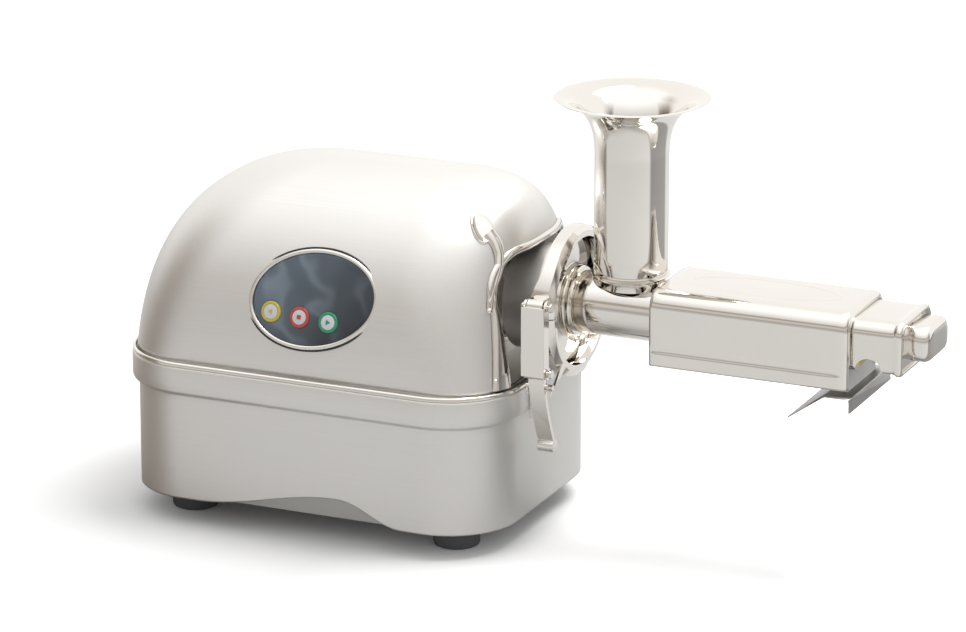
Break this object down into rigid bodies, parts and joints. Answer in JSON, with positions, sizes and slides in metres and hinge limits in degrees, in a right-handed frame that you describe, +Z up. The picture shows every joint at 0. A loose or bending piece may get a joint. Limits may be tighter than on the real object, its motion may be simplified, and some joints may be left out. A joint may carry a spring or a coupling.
{
  "type": "twin gear juicer",
  "caption": "Horizontal masticating juicer: domed steel motor housing on feet, clamped barrel with meshing helical rollers, trumpet funnel, lift-off cover and pulp nose.",
  "frame": {"origin": "centre of the bounding box, on the floor under the feet", "axes": "+X along the barrel towards the pulp nose, -Y towards the control panel, +Z up"},
  "size_m": [0.5, 0.186, 0.2741],
  "materials": {
    "brushed": "brushed",
    "polished": "polished",
    "satin_trim": "satin",
    "rubber": "matte",
    "panel_print": "semi-gloss",
    "button_yellow": "satin",
    "button_red": "satin",
    "button_green": "satin",
    "black_plastic": "matte",
    "circuit_board": "satin",
    "cast": "cast",
    "motor_core": "machined",
    "gear_steel": "machined",
    "brass": "machined",
    "dark_steel": "satin"
  },
  "bodies": {
    "housing": {"lower_body": "brushed", "rim_trim": "polished", "base_tray": "brushed", "feet": "rubber", "foot_screws": "polished", "top_dome": "brushed", "side_straps": "polished", "strap_pins": "polished", "end_plate": "brushed", "end_plate_screws": "polished", "panel_bezel": "satin_trim", "panel_face": "panel_print", "button_switches": "black_plastic", "control_board": "circuit_board", "power_inlet": "black_plastic", "motor_casing": "cast", "motor_cradle": "cast", "motor_stator": "motor_core", "gearbox_case": "cast", "gearbox_lid": "cast", "bearings": "gear_steel", "hub_neck": "brushed", "mouth_cup": "brushed", "rear_ring": "polished", "hub_drum": "brushed", "clamp_ring_lower": "polished", "hinge_pin": "polished", "juicing_barrel": "polished", "feed_funnel": "polished", "screen": "brushed"},
    "reverse_button": {"reverse_button": "button_yellow"},
    "stop_button": {"stop_button": "button_red"},
    "start_button": {"start_button": "button_green"},
    "motor_shaft": {"motor_rotor": "motor_core", "cooling_fan": "black_plastic", "motor_pinion": "gear_steel"},
    "reduction": {"reduction_shaft": "gear_steel", "reduction_wheel": "gear_steel"},
    "output": {"output_shaft": "gear_steel", "output_gear": "brass"},
    "drive_roller": {"drive_gear": "gear_steel"},
    "driven_roller": {"driven_gear": "gear_steel"},
    "clamp_upper": {"clamp_ring_upper": "polished"},
    "latch": {"latch_link": "polished", "latch_pins": "polished"},
    "handle": {"clamp_handle": "polished"},
    "cover": {"juice_cover": "polished"},
    "pulp_end": {"pulp_housing": "polished", "roller_bushings": "brass", "pulp_nose": "satin_trim", "pulp_deflector": "dark_steel"}
  },
  "joints": [
    {"name": "reverse_button_press", "type": "slide", "parent": "housing", "child": "reverse_button", "axis": [0, 0.9563, -0.2924], "range_m": [0, 0.001], "stiffness_N_per_m": 900, "springref_m": -0.001},
    {"name": "stop_button_press", "type": "slide", "parent": "housing", "child": "stop_button", "axis": [0, 0.9563, -0.2924], "range_m": [0, 0.001], "stiffness_N_per_m": 900, "springref_m": -0.001},
    {"name": "start_button_press", "type": "slide", "parent": "housing", "child": "start_button", "axis": [0, 0.9563, -0.2924], "range_m": [0, 0.001], "stiffness_N_per_m": 900, "springref_m": -0.001},
    {"name": "motor_spin", "type": "hinge", "parent": "housing", "child": "motor_shaft", "pos_m": [-0.168, -0.0078, 0.076], "axis": [1, 0, 0], "continuous": true},
    {"name": "reduction_spin", "type": "hinge", "parent": "housing", "child": "reduction", "pos_m": [-0.097, 0.0069, 0.1105], "axis": [1, 0, 0], "continuous": true},
    {"name": "output_spin", "type": "hinge", "parent": "housing", "child": "output", "pos_m": [-0.062, -0.0078, 0.145], "axis": [1, 0, 0], "continuous": true},
    {"name": "drive_roller_spin", "type": "hinge", "parent": "housing", "child": "drive_roller", "pos_m": [0.078, -0.0078, 0.145], "axis": [1, 0, 0], "continuous": true},
    {"name": "driven_roller_spin", "type": "hinge", "parent": "housing", "child": "driven_roller", "pos_m": [0.078, 0.0078, 0.145], "axis": [1, 0, 0], "continuous": true},
    {"name": "clamp_open", "type": "hinge", "parent": "housing", "child": "clamp_upper", "pos_m": [0.017, 0.0495, 0.145], "axis": [-1, 0, 0], "range_deg": [0, 55]},
    {"name": "latch_swing", "type": "hinge", "parent": "clamp_upper", "child": "latch", "pos_m": [0.017, -0.0505, 0.1545], "axis": [-1, 0, 0], "range_deg": [0, 30]},
    {"name": "handle_lift", "type": "hinge", "parent": "latch", "child": "handle", "pos_m": [0.017, -0.0505, 0.1135], "axis": [-1, 0, 0], "range_deg": [0, 70]},
    {"name": "cover_lift", "type": "slide", "parent": "housing", "child": "cover", "axis": [0, 0, 1], "range_m": [0, 0.06]},
    {"name": "pulp_end_pull", "type": "slide", "parent": "housing", "child": "pulp_end", "axis": [1, 0, 0], "range_m": [0, 0.06]}
  ],
  "couplings": [
    {"joint": "reduction_spin", "follows": "motor_spin", "ratio": -0.25},
    {"joint": "output_spin", "follows": "motor_spin", "ratio": 0.0625},
    {"joint": "drive_roller_spin", "follows": "motor_spin", "ratio": 0.0625},
    {"joint": "driven_roller_spin", "follows": "motor_spin", "ratio": -0.0625},
    {"joint": "latch_swing", "follows": "clamp_open", "ratio": 0.5},
    {"joint": "handle_lift", "follows": "clamp_open", "ratio": 1.2}
  ]
}
